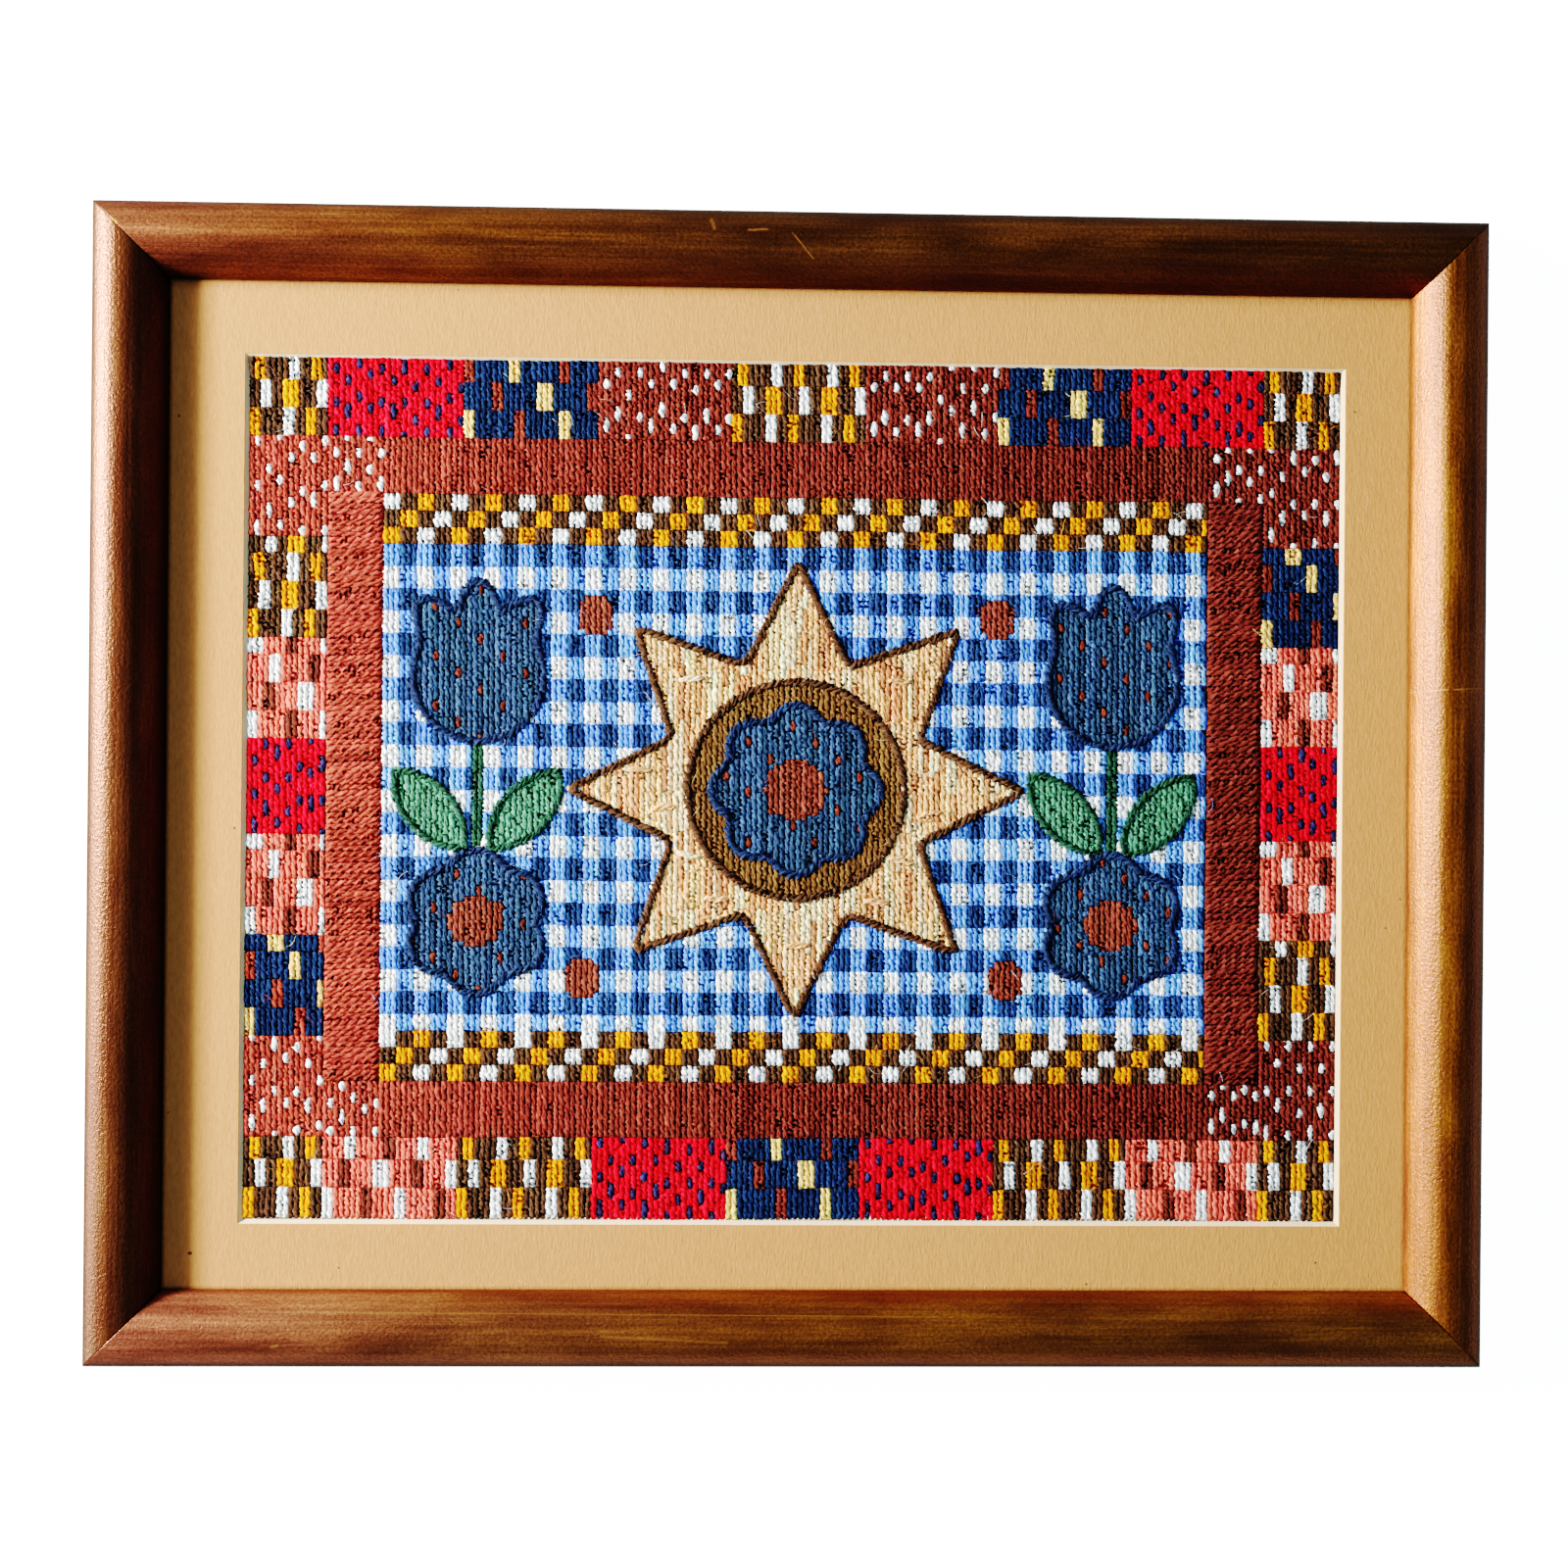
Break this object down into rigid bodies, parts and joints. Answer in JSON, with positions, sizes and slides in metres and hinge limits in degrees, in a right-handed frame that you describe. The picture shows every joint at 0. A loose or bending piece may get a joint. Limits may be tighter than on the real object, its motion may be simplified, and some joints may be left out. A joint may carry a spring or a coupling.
{
  "type": "needlepoint canvas panel in wooden frame",
  "caption": "Long-stitch wool needlepoint canvas behind a bevelled tan mat, in a rounded, mitred, stained wood frame, lying on its back.",
  "frame": {"origin": "on the surface that the frame lies on, under the middle of the frame", "axes": "+X to the picture's right, +Y to the picture's top, +Z out of the picture's face"},
  "size_m": [0.4514, 0.3732, 0.021],
  "materials": {
    "stained_wood": "satin",
    "mat_paper": "matte",
    "canvas_and_wool": "matte",
    "backing_card": "matte"
  },
  "bodies": {
    "root": {"frame_top": "stained_wood", "frame_bottom": "stained_wood", "frame_left": "stained_wood", "frame_right": "stained_wood", "mat_board": "mat_paper", "needlepoint_canvas": "canvas_and_wool", "backing_board": "backing_card"}
  },
  "joints": []
}
